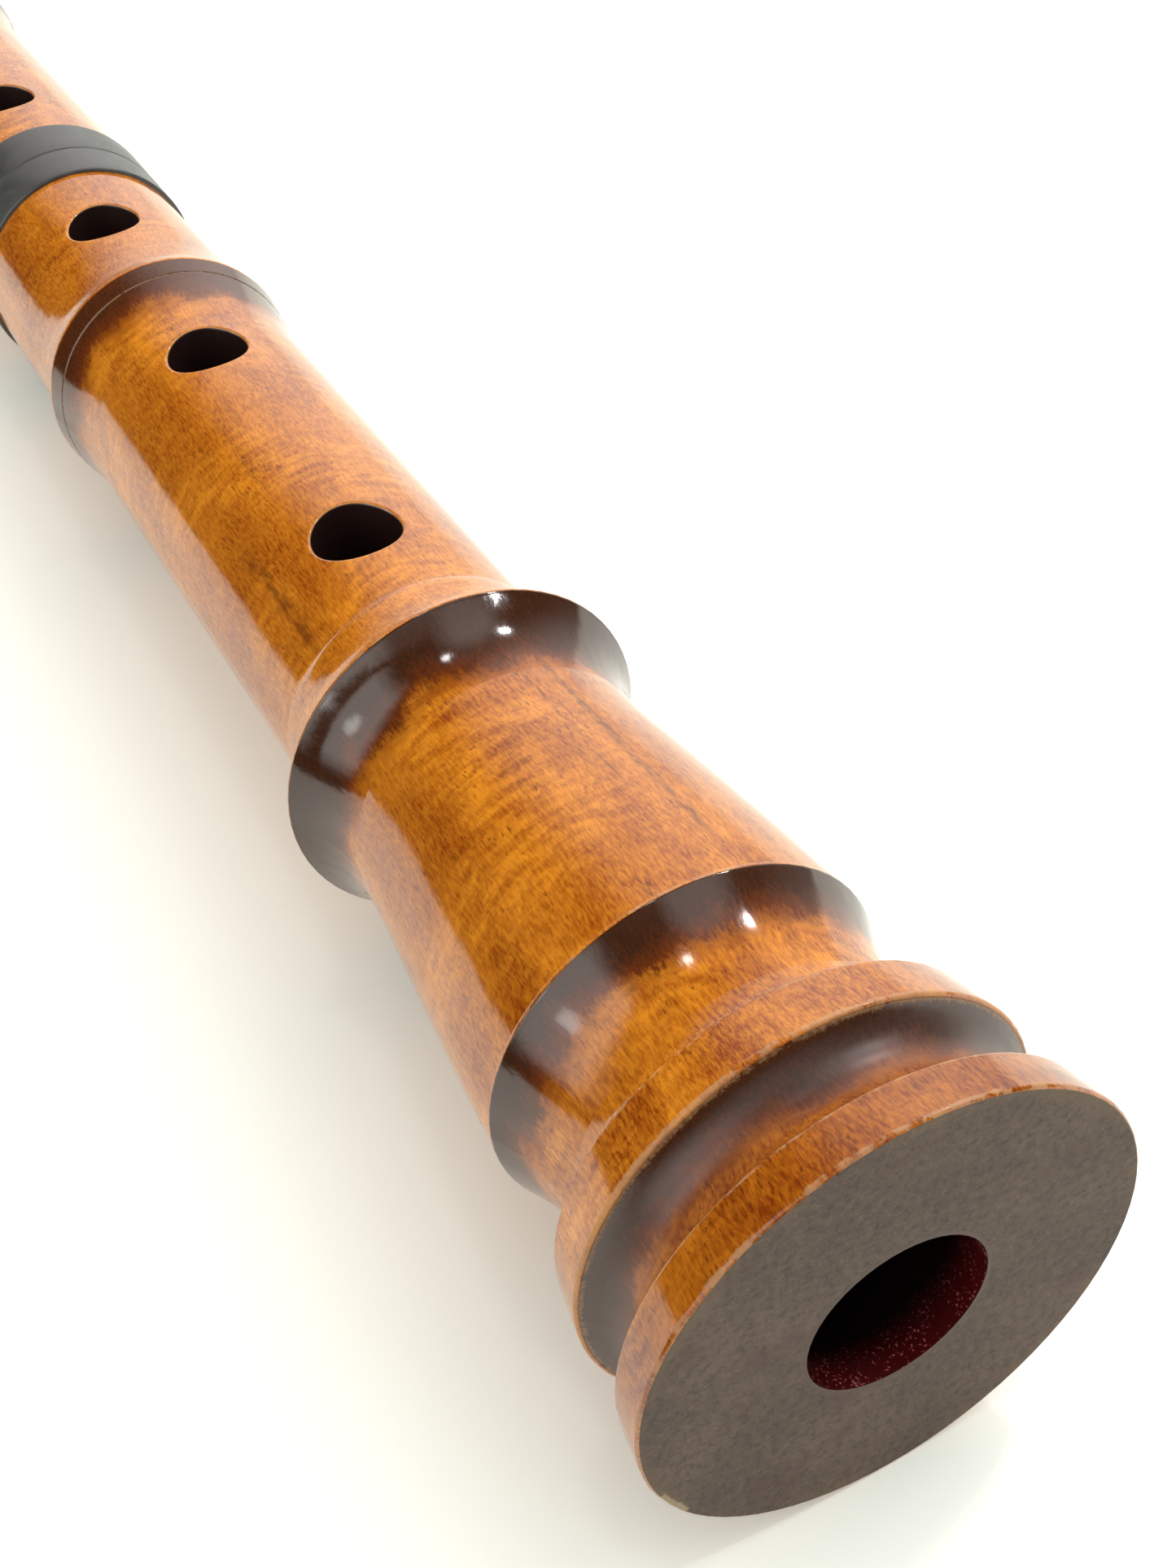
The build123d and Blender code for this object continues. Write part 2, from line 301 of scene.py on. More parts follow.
def bumped(tree, shader, height, distance):
    """A height turned into the shader's normal."""
    bump = add(tree, "ShaderNodeBump", {"Height": height, "Distance": distance, "Strength": 1.0})
    tree.links.new(bump.outputs["Normal"], shader.inputs["Normal"])


def turned_place(tree):
    """Where a point is on a turned piece, in millimetres: its place, along, radius, across, up."""
    here = add(tree, "ShaderNodeTexCoord").outputs["Object"]
    place_mm = scaled(tree, here, 1 / MM)
    along, across, up = add(tree, "ShaderNodeSeparateXYZ", {0: place_mm}).outputs
    radius = calc(tree, "SQRT", plus(tree, times(tree, across, across), times(tree, up, up)))
    return {"Place": place_mm, "Along": along, "Radius": radius, "Across": across, "Up": up}


# ---------------------------------------------------------------- shared effects

def build_maple_figure():
    """Maple's figure in solid wood, fibres along X: clouds, flecks, dashes, streaks and curl."""
    tree, take, out = group(
        "maple_figure",
        [("Place", "vector", None), ("Fleck Width", "value", 0.35),
         ("Fleck Stretch", "value", 4.0)],
        ["Clouds", "Flecks", "Dashes", "Streaks", "Curl"])
    wander = add(tree, "ShaderNodeTexNoise",
                 {"Vector": stretched(tree, take["Place"], (0.02, 0.06, 0.06)), "Scale": 1.0,
                  "Detail": 1.0}).outputs["Color"]
    offset = scaled(tree, shifted(tree, wander, (-0.5, -0.5, -0.5)), 5.0)
    bent = shifted(tree, take["Place"], offset)
    along = calc(tree, "DIVIDE", 1.0, take["Fleck Stretch"])
    squeeze = add(tree, "ShaderNodeCombineXYZ", {0: along, 1: 1.0, 2: 1.0}).outputs[0]
    fibre = add(tree, "ShaderNodeVectorMath", {0: bent, 1: squeeze},
                operation="MULTIPLY").outputs["Vector"]
    flecks = noise(tree, fibre, calc(tree, "DIVIDE", 1.0, take["Fleck Width"]), 3.0, 0.65)
    fine = shifted(tree, stretched(tree, bent, (0.75, 3.4, 3.4)), (3.1, 7.7, 5.3))
    threshold = ease(tree, noise(tree, bent, 0.16, 2.0, 0.6), 0.40, 0.68, 0.72, 0.59)
    dashes = ease(tree, less(tree, noise(tree, fine, 1.0, 1.0), threshold), 0.0, 0.10)
    long_noise = noise(tree, stretched(tree, bent, (0.02, 1.0, 1.0)), 0.55, 3.0, 0.6)
    streaks = ease(tree, long_noise, 0.56, 0.72)
    clouds = ease(tree, noise(tree, stretched(tree, bent, (0.4, 1.0, 1.0)), 0.13, 3.0, 0.6),
                  0.30, 0.70)
    ripple = noise(tree, stretched(tree, bent, (1.0, 0.30, 0.30)), 0.62, 3.0, 0.6)
    patchy = ease(tree, noise(tree, bent, 0.06, 1.0), 0.42, 0.62, 0.25, 1.0)
    curl = times(tree, ease(tree, ripple, 0.36, 0.64), patchy)
    for socket, value in (("Clouds", clouds), ("Flecks", flecks), ("Dashes", dashes),
                          ("Streaks", streaks), ("Curl", curl)):
        tree.links.new(value, out[socket])
    return tree


def build_worn_line():
    """A line worn round a turned edge, broken here and there. Where and Width are in mm."""
    tree, take, out = group(
        "worn_line",
        [("Place", "vector", None), ("Along", "value", 0.0), ("Where", "value", 0.0),
         ("Width", "value", 0.3), ("Wear", "value", 0.5)],
        ["Mask"])
    patchy = noise(tree, take["Place"], 0.35, 3.0, 0.7)
    ragged = times(tree, swing(tree, take["Place"], 2.2), take["Width"])
    away = calc(tree, "ABSOLUTE", plus(tree, less(tree, take["Along"], take["Where"]), ragged))
    line = ease(tree, calc(tree, "DIVIDE", away, take["Width"]), 0.45, 1.0, 1.0, 0.0)
    low = less(tree, 0.72, times(tree, take["Wear"], 0.5))
    kept = ease(tree, patchy, low, plus(tree, low, 0.12))
    tree.links.new(times(tree, line, kept), out["Mask"])
    return tree


def build_bored_hole():
    """A hole drilled along Z at Where: one mask on its wall, and one round its rim."""
    tree, take, out = group(
        "bored_hole",
        [("Along", "value", 0.0), ("Across", "value", 0.0), ("Up", "value", 0.0),
         ("Where", "value", 0.0), ("Bore", "value", 5.0), ("Side", "value", 1.0)],
        ["Wall", "Rim"])
    past = less(tree, take["Along"], take["Where"])
    away = calc(tree, "SQRT", plus(tree, times(tree, past, past),
                                   times(tree, take["Across"], take["Across"])))
    gap = less(tree, away, take["Bore"])
    on_side = calc(tree, "GREATER_THAN", times(tree, take["Up"], take["Side"]), 0.0)
    tree.links.new(times(tree, ease(tree, gap, 0.02, 0.10, 1.0, 0.0), on_side), out["Wall"])
    tree.links.new(times(tree, ease(tree, gap, 0.1, 0.45, 1.0, 0.0), on_side), out["Rim"])
    return tree


def build_specks():
    """Small scattered specks of dust, by size in millimetres and share of the surface."""
    tree, take, out = group("specks", [("Place", "vector", None), ("Size", "value", 0.2),
                                       ("Share", "value", 0.1)], ["Mask"])
    field = noise(tree, take["Place"], calc(tree, "DIVIDE", 1.0, take["Size"]), 1.0)
    crowd = noise(tree, take["Place"], 0.3, 1.0)
    low = less(tree, 0.80, times(tree, take["Share"], times(tree, crowd, 2.0)))
    tree.links.new(ease(tree, field, low, plus(tree, low, 0.05)), out["Mask"])
    return tree


def build_tool_lines():
    """Fine lines that a lathe tool leaves round a piece, as a height."""
    tree, take, out = group("tool_lines", [("Place", "vector", None), ("Along", "value", 0.0),
                                           ("Pitch", "value", 0.25)], ["Height"])
    cycle = calc(tree, "DIVIDE", take["Along"], take["Pitch"])
    wobble = times(tree, noise(tree, take["Place"], 0.4, 1.0), 2.0)
    turns = calc(tree, "SINE", times(tree, plus(tree, cycle, wobble), math.tau))
    grit = noise(tree, take["Place"], 5.0, 2.0, 0.6)
    tree.links.new(plus(tree, times(tree, turns, 0.25), grit), out["Height"])
    return tree


def build_stain_pool():
    """Dark stain on the foot side of a lip: full at the lip, fading out towards Start."""
    tree, take, out = group(
        "stain_pool",
        [("Place", "vector", None), ("Along", "value", 0.0), ("Start", "value", 0.0),
         ("Lip", "value", 1.0), ("Soft", "value", 2.0), ("Strength", "value", 1.0)],
        ["Mask"])
    wide = swing(tree, take["Place"], 0.11)
    close = swing(tree, take["Place"], 0.9, 3.0, 0.7)
    ragged = plus(tree, times(tree, wide, 3.2), close)
    reach = plus(tree, take["Along"], times(tree, ragged, take["Soft"]))
    from_start = calc(tree, "DIVIDE", less(tree, reach, take["Start"]), take["Soft"])
    rising = times(tree, ease(tree, from_start, -1.4, 1.9), take["Strength"])
    below = calc(tree, "LESS_THAN", take["Along"], take["Lip"])
    tree.links.new(times(tree, rising, below), out["Mask"])
    return tree


def build_grain_vein():
    """One long dark vein in the grain on the finger side, with its ends fading."""
    tree, take, out = group(
        "grain_vein",
        [("Place", "vector", None), ("Along", "value", 0.0), ("Across", "value", 0.0),
         ("Up", "value", 0.0), ("Middle", "value", 0.0), ("Start", "value", 0.0),
         ("End", "value", 1.0), ("Width", "value", 0.5)],
        ["Mask"])
    bend = swing(tree, take["Place"], 0.12, 3.0, 0.7)
    middle = less(tree, take["Middle"], times(tree, bend, 2.4))
    away = calc(tree, "ABSOLUTE", less(tree, take["Across"], middle))
    line = ease(tree, calc(tree, "DIVIDE", away, take["Width"]), 0.15, 1.0, 1.0, 0.0)
    ends = times(tree, ease(tree, less(tree, take["Along"], take["Start"]), 0.0, 8.0),
                 ease(tree, less(tree, take["End"], take["Along"]), 0.0, 8.0))
    faint = ease(tree, noise(tree, stretched(tree, take["Place"], (0.35, 1.0, 1.0)), 1.2),
                 0.35, 0.6, 0.25, 1.0)
    on_top = calc(tree, "GREATER_THAN", take["Up"], 0.0)
    tree.links.new(times(tree, line, faint, ends, on_top), out["Mask"])
    return tree


MAPLE_FIGURE = build_maple_figure()
WORN_LINE = build_worn_line()
BORED_HOLE = build_bored_hole()
SPECKS = build_specks()
TOOL_LINES = build_tool_lines()
STAIN_POOL = build_stain_pool()
GRAIN_VEIN = build_grain_vein()


# ---------------------------------------------------------------- stained maple

def stained_maple(name, pools, edges, holes, veins, foot=False):
    """Orange stain under gloss lacquer, with dark stain below each lip, wear on the edges, and a pale ring
    round each hole that is part wear, part painted highlight.
    """
    made, tree, shader = material(name)
    spot = turned_place(tree)
    where, along = spot["Place"], spot["Along"]
    figure = place(tree, MAPLE_FIGURE, Place=where, Fleck_Width=0.34, Fleck_Stretch=4.5)
    colour = figured_wood(tree, along, figure, foot)
    colour = blend(tree, times(tree, vein_mask(tree, spot, veins), 0.7), colour, FIBRE)
    if foot:
        colour = blend(tree, ease(tree, along, 9.0, 15.0, 1.0, 0.0), colour, FOOT_TINT, "MULTIPLY")
    colour = dark_stain(tree, spot, figure, pools, colour)
    worn = largest(tree, [place(tree, WORN_LINE, Place=where, Along=along, Where=edge, Width=width,
                                Wear=wear)["Mask"] for edge, width, wear in edges])
    colour = blend(tree, times(tree, worn, 0.5), colour, WEAR_AND_HIGHLIGHT)
    walls, rim_wear_and_highlight = hole_masks(tree, spot, holes)
    # Painted highlight: a pale ring round each hole, in the wear colour, stands for the light on the
    # hole's rim as well as for wear.
    colour = blend(tree, times(tree, rim_wear_and_highlight, 0.45), colour, WEAR_AND_HIGHLIGHT)
    colour = blend(tree, walls, colour, HOLE_WALL)
    roughness = plus(tree, ease(tree, figure["Flecks"], 0.3, 0.7, 0.12, 0.09),
                     times(tree, worn, 0.35), times(tree, walls, 0.3))
    waves = noise(tree, stretched(tree, where, (0.5, 1.0, 1.0)), 0.30)
    height = plus(tree, times(tree, figure["Flecks"], 0.006), times(tree, waves, 0.05))
    if foot:
        colour, roughness, height = foot_finish(tree, spot, colour, roughness, height)
    feed(tree, shader, Base_Color=colour, Roughness=roughness, IOR=1.6)
    bumped(tree, shader, height, MM)
    return made


def figured_wood(tree, along, figure, foot):
    """The stained wood's own colour. Its figure is stronger towards the foot."""
    tone = plus(tree, ease(tree, figure["Flecks"], 0.25, 0.75, 0.08, 0.66),
                times(tree, less(tree, figure["Clouds"], 0.5), -0.36))
    tone = calc(tree, "ADD", tone, times(tree, figure["Curl"], 0.40), clamp=True)
    if foot:
        middle_tone = 0.45
        strong = ease(tree, along, 18.0, 60.0, 1.25, 1.0)
        tone = calc(tree, "ADD", times(tree, less(tree, tone, middle_tone), strong), middle_tone,
                    clamp=True)
    colour = blend(tree, tone, AMBER, HONEY)
    colour = blend(tree, times(tree, figure["Streaks"], 0.15), colour, FIBRE)
    return blend(tree, times(tree, figure["Dashes"], 0.65), colour, FIBRE)


def vein_mask(tree, spot, veins):
    """All the dark veins in one mask."""
    return largest(tree, [place(tree, GRAIN_VEIN, Place=spot["Place"], Along=spot["Along"],
                                Across=spot["Across"], Up=spot["Up"], Middle=middle, Start=start,
                                End=end, Width=width)["Mask"]
                          for middle, start, end, width in veins])


def dark_stain(tree, spot, figure, pools, colour):
    """A colour darkened where stain lies below the lips: russet at its edge, umber inside."""
    stain = largest(tree, [place(tree, STAIN_POOL, Place=spot["Place"], Along=spot["Along"],
                                 Start=start, Lip=lip, Soft=soft, Strength=strength)["Mask"]
                           for start, lip, soft, strength in pools])
    uneven = ease(tree, figure["Flecks"], 0.30, 0.70, -0.16, 0.10)
    stain = plus(tree, stain, times(tree, uneven, ease(tree, stain, 0.0, 0.3)))
    colour = blend(tree, ease(tree, stain, 0.0, 0.55), colour, RUSSET)
    return blend(tree, ease(tree, stain, 0.40, 1.05), colour, UMBER)


def hole_masks(tree, spot, holes):
    """One mask for the walls of all the holes, and one for their rims."""
    bored = [place(tree, BORED_HOLE, Along=spot["Along"], Across=spot["Across"], Up=spot["Up"],
                   Where=where, Bore=radius, Side=side) for where, radius, side in holes]
    return (largest(tree, [hole["Wall"] for hole in bored]),
            largest(tree, [hole["Rim"] for hole in bored]))


def foot_finish(tree, spot, colour, roughness, height):
    """The foot's own finish over the tube's: a duller groove, the end grain and the chip."""
    along = spot["Along"]
    fade = 0.6
    start, end = GROOVE_DULL
    in_groove = times(tree, ease(tree, along, start - fade, start + fade),
                      ease(tree, along, end - fade, end + fade, 1.0, 0.0))
    roughness = plus(tree, roughness, times(tree, in_groove, 0.28))
    face = calc(tree, "LESS_THAN", along, END_FACE)
    off_face = less(tree, 1.0, face)
    face_colour, face_height = end_grain(tree, spot)
    colour = blend(tree, face, colour, face_colour)
    colour = blend(tree, rim_chip(tree, spot), colour, CHIPPED)
    roughness = plus(tree, times(tree, face, 0.70), times(tree, roughness, off_face))
    height = plus(tree, times(tree, height, off_face), times(tree, face_height, face))
    return colour, roughness, height


def end_grain(tree, spot):
    """The foot's end face: dull brown with fine pores. Its colour, and its height in mm."""
    where = spot["Place"]
    pores = noise(tree, where, 0.95, 6.0, 0.8)
    grit = noise(tree, where, 4.5, 2.0, 0.7)
    combed = noise(tree, stretched(tree, where, (1.0, 0.45, 1.7)), 0.7, 4.0, 0.75)
    patches = noise(tree, where, 0.08, 3.0, 0.6)
    reds = ease(tree, noise(tree, stretched(tree, where, (1.0, 1.0, 1.4)), 0.10), 0.55, 0.72)
    colour = blend(tree, ease(tree, patches, 0.30, 0.70), FACE_DARK, FACE_LIGHT)
    for mask, tint in ((ease(tree, combed, 0.50, 0.68, 0.0, 0.34), FACE_COMBED),
                       (ease(tree, pores, 0.50, 0.62, 0.0, 0.60), FACE_PORE),
                       (ease(tree, pores, 0.48, 0.38, 0.0, 0.50), FACE_FIBRE),
                       (ease(tree, grit, 0.60, 0.68, 0.0, 0.50), FACE_GRIT),
                       (times(tree, reds, 0.40), FACE_REDDISH)):
        colour = blend(tree, mask, colour, tint)
    rubbed = times(tree, ease(tree, spot["Radius"], 26.4, 28.3, 0.0, 0.6),
                   ease(tree, patches, 0.40, 0.62))
    colour = blend(tree, rubbed, colour, FACE_RUBBED)
    return colour, less(tree, times(tree, grit, 0.20), pores)


def rim_chip(tree, spot):
    """A chip in the foot's rim, low on the thumb side, where the bare wood shows."""
    from_middle = add(tree, "ShaderNodeVectorMath", {0: spot["Place"], 1: CHIP_MIDDLE},
                      operation="DISTANCE").outputs["Value"]
    ragged = swing(tree, spot["Place"], 1.3, 3.0, 0.7)
    near = ease(tree, plus(tree, from_middle, times(tree, ragged, 2.0)), 2.6, 3.2, 1.0, 0.0)
    outside = ease(tree, plus(tree, spot["Radius"], ragged), 27.8, 28.1)
    low = ease(tree, plus(tree, spot["Along"], ragged), 0.4, 0.8, 1.0, 0.0)
    return times(tree, near, outside, low)


# ---------------------------------------------------------------- other finishes

def ring_black():
    """Satin black ferrules, with faint lathe lines and a little dust."""
    made, tree, shader = material("ring_black_satin")
    spot = turned_place(tree)
    lines = place(tree, TOOL_LINES, Place=spot["Place"], Along=spot["Along"], Pitch=0.22)
    dust = place(tree, SPECKS, Place=spot["Place"], Size=0.3, Share=0.04)
    mottled = ease(tree, noise(tree, spot["Place"], 0.25, 3.0), 0.3, 0.7)
    colour = blend(tree, mottled, RING_DARK, RING_LIGHT)
    colour = blend(tree, times(tree, dust["Mask"], 0.3), colour, RING_DUST)
    feed(tree, shader, Base_Color=colour, Roughness=ease(tree, mottled, 0.0, 1.0, 0.34, 0.42),
         IOR=1.6)
    bumped(tree, shader, lines["Height"], 0.02 * MM)
    return made


def bore_lacquer():
    """Deep red gloss lacquer in the bore, with fine pale specks, dull on its cut end. Deeper in from
    either end it darkens to near black as painted shade.
    """
    made, tree, shader = material("bore_lacquer_red")
    spot = turned_place(tree)
    dust = place(tree, SPECKS, Place=spot["Place"], Size=0.30, Share=0.17)
    # Painted shade: deeper into the bore from either end, the red darkens to near black, and the pale
    # specks fade out in that painted shade.
    from_mouth = calc(tree, "ABSOLUTE", less(tree, spot["Along"], MOUTH))
    depth = ease(tree, calc(tree, "MINIMUM", spot["Along"], from_mouth), 0.5, 6.0)
    colour = blend(tree, depth, LACQUER_RED, LACQUER_PAINTED_SHADE)
    colour = blend(tree, times(tree, dust["Mask"], less(tree, 1.0, depth)), colour, LACQUER_DUST)
    cut_end = calc(tree, "LESS_THAN", spot["Along"], END_FACE)
    colour = blend(tree, cut_end, colour, LACQUER_CUT)
    feed(tree, shader, Base_Color=colour, Roughness=0.4, Specular_IOR_Level=0.2,
         Coat_Weight=less(tree, 1.0, times(tree, cut_end, 0.95)), Coat_Roughness=0.1)
    bumped(tree, shader, noise(tree, spot["Place"], 0.9), 0.04 * MM)
    return made


def bare_wood(name, light, dark):
    """Unlacquered turned wood, for the tenon and the socket that it slides in."""
    made, tree, shader = material(name)
    spot = turned_place(tree)
    figure = place(tree, MAPLE_FIGURE, Place=spot["Place"], Fleck_Width=0.3, Fleck_Stretch=6.0)
    lines = place(tree, TOOL_LINES, Place=spot["Place"], Along=spot["Along"], Pitch=0.3)
    colour = blend(tree, figure["Clouds"], light, dark)
    colour = blend(tree, times(tree, figure["Dashes"], 0.5), colour, FIBRE)
    colour = blend(tree, times(tree, figure["Streaks"], 0.4), colour, FIBRE)
    feed(tree, shader, Base_Color=colour,
         Roughness=ease(tree, figure["Flecks"], 0.3, 0.7, 0.62, 0.5))
    bumped(tree, shader, lines["Height"], 0.03 * MM)
    return made


def inlay_horn():
    """Polished black horn with faint brown streaks, set in the blowing edge."""
    made, tree, shader = material("inlay_horn_polished")
    spot = turned_place(tree)
    veins = noise(tree, stretched(tree, spot["Place"], (0.25, 1.0, 1.0)), 0.9, 3.0, 0.6)
    colour = blend(tree, ease(tree, veins, 0.5, 0.72), HORN_BLACK, HORN_BROWN)
    feed(tree, shader, Base_Color=colour, Roughness=ease(tree, veins, 0.4, 0.7, 0.16, 0.24))
    bumped(tree, shader, noise(tree, spot["Place"], 3.0), 0.01 * MM)
    return made


def dress(node, finish):
    """Gives a node's every material slot this finish."""
    for slot in frame["nodes"][node].material_slots:
        slot.material = finish


def dress_flute():
    """The finish of each node that is shown as the CAD made it."""
    dress("lower_tube", stained_maple("stained_maple_lower", LOWER_POOLS, LOWER_WORN, LOWER_HOLES,
                                      LOWER_VEINS, foot=True))
    dress("upper_tube", stained_maple("stained_maple_upper", UPPER_POOLS, UPPER_WORN, UPPER_HOLES,
                                      UPPER_VEINS))
    lacquer = bore_lacquer()
    dress("lower_bore_lining", lacquer)
    dress("upper_bore_lining", lacquer)
    dress("tenon_sleeve", bare_wood("tenon_wood_bare", TENON_LIGHT, TENON_DARK))
    dress("socket_sleeve", bare_wood("socket_wood_bare", SOCKET_LIGHT, SOCKET_DARK))
    dress("blowing_edge_inlay", inlay_horn())


# ---------------------------------------------------------------- joint rings

def ring_tree():
    """A ferrule about the X axis: a rectangle with rounded corners, swept round a circle."""
    tree = bpy.data.node_groups.new("turned_ring", "GeometryNodeTree")
    for name, kind in (("Start", "NodeSocketFloat"), ("End", "NodeSocketFloat"),
                       ("Seat Radius", "NodeSocketFloat"), ("Outer Radius", "NodeSocketFloat"),
                       ("Corner Round", "NodeSocketFloat"), ("Sides", "NodeSocketInt"),
                       ("Finish", "NodeSocketMaterial")):
        tree.interface.new_socket(name, in_out="INPUT", socket_type=kind)
    tree.interface.new_socket("Ring", in_out="OUTPUT", socket_type="NodeSocketGeometry")
    take = tree.nodes.new("NodeGroupInput").outputs
    out = tree.nodes.new("NodeGroupOutput").inputs
    width = less(tree, take["End"], take["Start"])
    depth = less(tree, take["Outer Radius"], take["Seat Radius"])
    section = add(tree, "GeometryNodeCurvePrimitiveQuadrilateral",
                  {"Width": depth, "Height": width}).outputs[0]
    section = add(tree, "GeometryNodeFilletCurve",
                  {"Curve": section, "Radius": take["Corner Round"], "Count": RING_CORNER_STEPS,
                   "Limit Radius": True}, mode="POLY").outputs[0]
    section = add(tree, "GeometryNodeSubdivideCurve",
                  {"Curve": section, "Cuts": RING_CUTS}).outputs[0]
    middle_radius = plus(tree, take["Seat Radius"], times(tree, depth, 0.5))
    path = add(tree, "GeometryNodeCurvePrimitiveCircle",
               {"Resolution": take["Sides"], "Radius": middle_radius}).outputs[0]
    swept = add(tree, "GeometryNodeCurveToMesh",
                {"Curve": path, "Profile Curve": section}).outputs[0]
    middle = plus(tree, take["Start"], times(tree, width, 0.5))
    at = add(tree, "ShaderNodeCombineXYZ", {0: middle}).outputs[0]
    turned = add(tree, "GeometryNodeTransform",
                 {"Geometry": swept, "Translation": at,
                  "Rotation": (0.0, math.pi / 2, 0.0)}).outputs[0]
    smooth = add(tree, "GeometryNodeSetShadeSmooth", {0: turned}).outputs[0]
    real = add(tree, "GeometryNodeRealizeInstances", {0: smooth}).outputs[0]
    done = add(tree, "GeometryNodeSetMaterial",
               {"Geometry": real, "Material": take["Finish"]}).outputs[0]
    tree.links.new(done, out["Ring"])
    return tree


def joint_ring(tree, node, body, finish):
    """One joint ring in place of its CAD node, with that node's length and outer radius."""
    low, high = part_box(node)
    sizes = {"Start": low.x, "End": high.x, "Seat Radius": RING_SEAT_RADIUS * MM,
             "Outer Radius": high.z, "Corner Round": RING_CORNER * MM, "Sides": RING_SIDES,
             "Finish": finish}
    source = bpy.data.objects.new(node + "_source", bpy.data.meshes.new(node + "_source"))
    bpy.context.scene.collection.objects.link(source)
    modifier = source.modifiers.new("turned_ring", "NODES")
    modifier.node_group = tree
    for item in tree.interface.items_tree:
        if item.in_out == "INPUT":
            modifier[item.identifier] = sizes[item.name]
    bpy.context.view_layer.update()
    evaluated = source.evaluated_get(bpy.context.evaluated_depsgraph_get())
    mesh = bpy.data.meshes.new_from_object(evaluated)
    bpy.data.objects.remove(source)
    mesh.name = node + "_turned"
    face_outwards(mesh)
    ring = bpy.data.objects.new(node + "_turned", mesh)
    bpy.context.scene.collection.objects.link(ring)
    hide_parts(node)
    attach(ring, body)


def face_outwards(mesh):
    """Doubles merged, and the faces of a closed shell turned outwards."""
    shell = bmesh.new()
    shell.from_mesh(mesh)
    bmesh.ops.remove_doubles(shell, verts=shell.verts, dist=0.001 * MM)
    bmesh.ops.recalc_face_normals(shell, faces=shell.faces)
    shell.to_mesh(mesh)
    shell.free()


def turn_rings():
    """The two black rings that meet at the joint."""
    finish = ring_black()
    tree = ring_tree()
    joint_ring(tree, "lower_joint_ring", "lower_section", finish)
    joint_ring(tree, "upper_joint_ring", "upper_section", finish)


# ---------------------------------------------------------------- studio

def floor():
    """The table top: it touches the foot's rim and the node by the mouth, so it leans a little."""
    foot_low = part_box("lower_tube")[0]
    mouth_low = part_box("upper_tube")[0]
    slope = (mouth_low.z - foot_low.z) / (NODE_1_LIP * MM)
    outline = ((TABLE_X[0], TABLE_Y[0]), (TABLE_X[1], TABLE_Y[0]),
               (TABLE_X[1], TABLE_Y[1]), (TABLE_X[0], TABLE_Y[1]))
    mesh = bpy.data.meshes.new("table_top")
    mesh.from_pydata([(x, y, foot_low.z + slope * x) for x, y in outline], [], [(0, 1, 2, 3)])
    made = bpy.data.objects.new("table_top", mesh)
    bpy.context.scene.collection.objects.link(made)
    finish, tree, shader = material("table_white")
    feed(tree, shader, Base_Color=TABLE, Roughness=0.6)
    mesh.materials.append(finish)


def toward(azimuth, elevation):
    """The direction of a place in the room, from degrees."""
    a, e = math.radians(azimuth), math.radians(elevation)
    return Vector((math.cos(e) * math.cos(a), math.cos(e) * math.sin(a), math.sin(e)))


def patch(tree, direction, azimuth, elevation, inner, outer):
    """A soft round patch of the room: 1 within inner degrees of its middle, 0 past outer."""
    near = facing(tree, direction, toward(azimuth, elevation))
    return ease(tree, near, math.cos(math.radians(outer)), math.cos(math.radians(inner)))


def window(tree, direction):
    """A soft-edged window in two panes, its middle bar leaning, with two bright spots behind it."""
    x, y, z = add(tree, "ShaderNodeSeparateXYZ", {0: direction}).outputs
    azimuth = calc(tree, "DEGREES", calc(tree, "ARCTAN2", y, x))
    elevation = calc(tree, "DEGREES", calc(tree, "ARCSINE", z))
    lean = times(tree, less(tree, elevation, 35.0), 0.4)
    from_bar = less(tree, less(tree, azimuth, 110.0), lean)
    panes = ease(tree, calc(tree, "ABSOLUTE", from_bar), 2.0, 6.0)
    sides = times(tree, ease(tree, azimuth, 58.0, 72.0), ease(tree, azimuth, 135.0, 158.0, 1.0, 0.0))
    heights = times(tree, ease(tree, elevation, -4.0, 10.0),
                    ease(tree, elevation, 52.0, 68.0, 1.0, 0.0))
    glass = times(tree, panes, sides, heights)
    spots = plus(tree, patch(tree, direction, 88, 29, 0.5, 7), patch(tree, direction, 113, 26, 0.5, 6))
    return plus(tree, times(tree, glass, 2.0), times(tree, spots, 4.0))


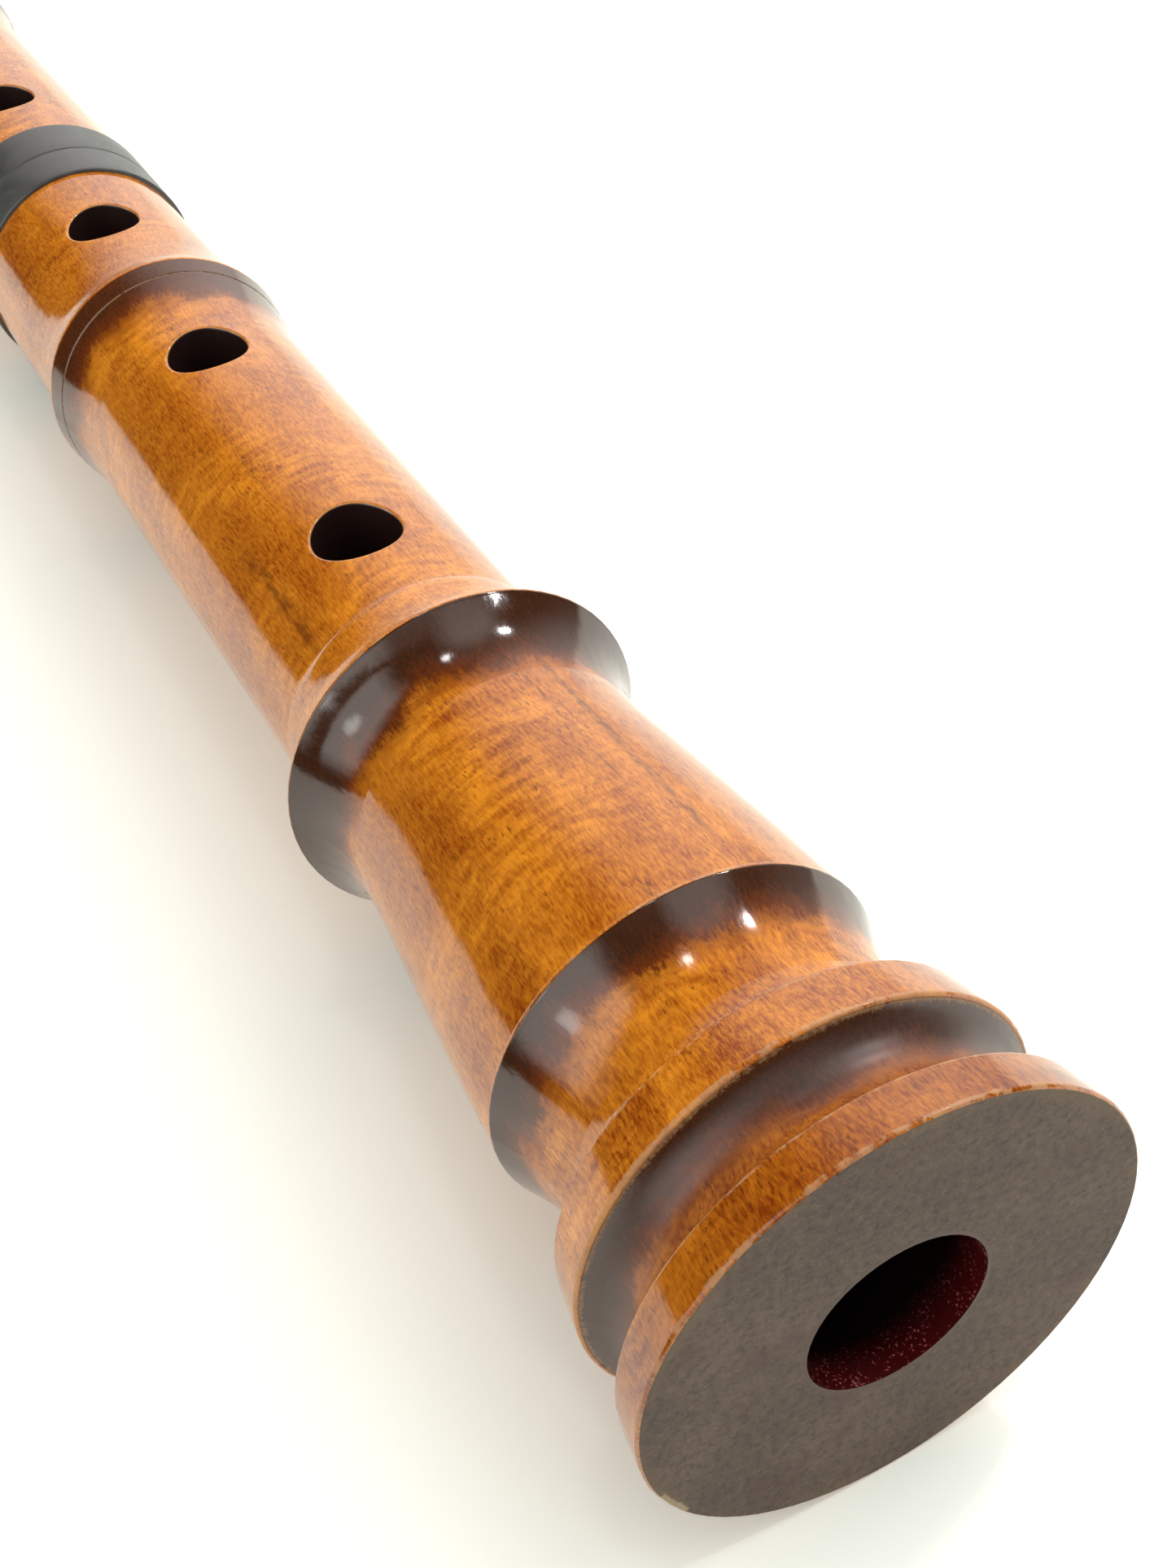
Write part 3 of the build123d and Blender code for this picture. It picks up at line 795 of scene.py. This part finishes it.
def studio_world():
    """White where the camera looks past the table, and a soft room that the lacquer mirrors.

    Diffuse surfaces see a plainer room instead, brighter towards the key lamp.
    """
    world = bpy.data.worlds.new("soft_room")
    bpy.context.scene.world = world
    world.use_nodes = True
    tree = world.node_tree
    tree.nodes.clear()
    direction = add(tree, "ShaderNodeTexCoord").outputs["Generated"]
    mirrored = plus(tree, ROOM_DARK, window(tree, direction))
    for azimuth, elevation, inner, outer, brightness in ROOM_GLOWS:
        glow = patch(tree, direction, azimuth, elevation, inner, outer)
        mirrored = plus(tree, mirrored, times(tree, glow, brightness))
    rays = add(tree, "ShaderNodeLightPath").outputs
    key_side = facing(tree, direction, toward(LAMPS["key_soft"][0], 0))
    ambient = plus(tree, ROOM_AMBIENT, times(tree, key_side, ROOM_SLOPE))
    diffuse = rays["Is Diffuse Ray"]
    level = plus(tree, times(tree, mirrored, less(tree, 1.0, diffuse)),
                 times(tree, diffuse, ambient))
    room = add(tree, "ShaderNodeBackground", {"Color": (1.0, 0.985, 0.95, 1), "Strength": level})
    white = add(tree, "ShaderNodeBackground", {"Color": (1.0, 1.0, 0.99, 1), "Strength": 1.0})
    mix = add(tree, "ShaderNodeMixShader",
              {0: rays["Is Camera Ray"], 1: room.outputs[0], 2: white.outputs[0]})
    add(tree, "ShaderNodeOutputWorld", {"Surface": mix.outputs[0]})


def lamps():
    """Square soft lamps aimed at the flute. The mirrored ones make the small glints."""
    for name, (azimuth, elevation, distance, size, watts, mirrored) in LAMPS.items():
        light = bpy.data.lights.new(name, "AREA")
        light.size = size
        light.energy = watts
        made = bpy.data.objects.new(name, light)
        away = toward(azimuth, elevation)
        made.location = LAMP_TARGET + away * distance
        made.rotation_euler = away.to_track_quat("Z", "Y").to_euler()
        made.visible_glossy = mirrored
        bpy.context.scene.collection.objects.link(made)


def camera():
    """The camera near the foot, tilted a little about its line of sight."""
    made = bpy.data.objects.new("camera", bpy.data.cameras.new("camera"))
    made.data.lens = LENS_MM
    made.data.sensor_fit = "AUTO"
    made.data.sensor_width = 36.0
    made.data.clip_start = 0.005
    sight = (AIM - EYE).to_track_quat("-Z", "Y").to_matrix()
    turn = Matrix.Rotation(math.radians(ROLL_DEG), 3, "Z")
    made.matrix_world = Matrix.Translation(EYE) @ (sight @ turn).to_4x4()
    bpy.context.scene.collection.objects.link(made)
    bpy.context.scene.camera = made


dress_flute()
turn_rings()
floor()
studio_world()
lamps()
camera()
bpy.context.scene.view_settings.view_transform = "Standard"
